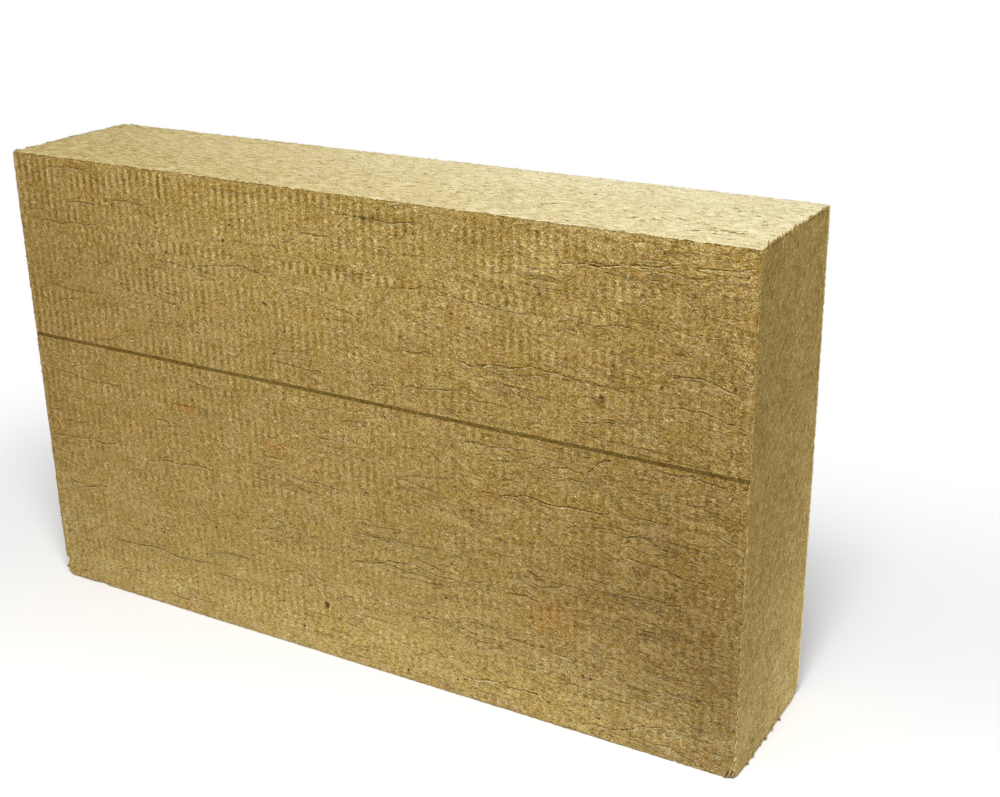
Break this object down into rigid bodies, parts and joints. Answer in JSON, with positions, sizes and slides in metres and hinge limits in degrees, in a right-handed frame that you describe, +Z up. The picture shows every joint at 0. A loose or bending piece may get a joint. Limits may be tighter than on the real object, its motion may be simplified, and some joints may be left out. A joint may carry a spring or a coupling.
{
  "type": "mineral wool facade board",
  "caption": "Thick rectangular slab of bonded stone fibre insulation with square sawn edges and a straight marking line along its outer face, standing on a long edge.",
  "frame": {"origin": "middle of the standing edge, at the bottom centre of the board", "axes": "+X along the length, +Y through the thickness towards the wall side, +Z up the face; the marked outer face looks to -Y"},
  "size_m": [1, 0.2, 0.6],
  "materials": {
    "wool": "matt, fibrous, golden khaki"
  },
  "bodies": {
    "root": {"wool_board": "wool"}
  },
  "joints": []
}
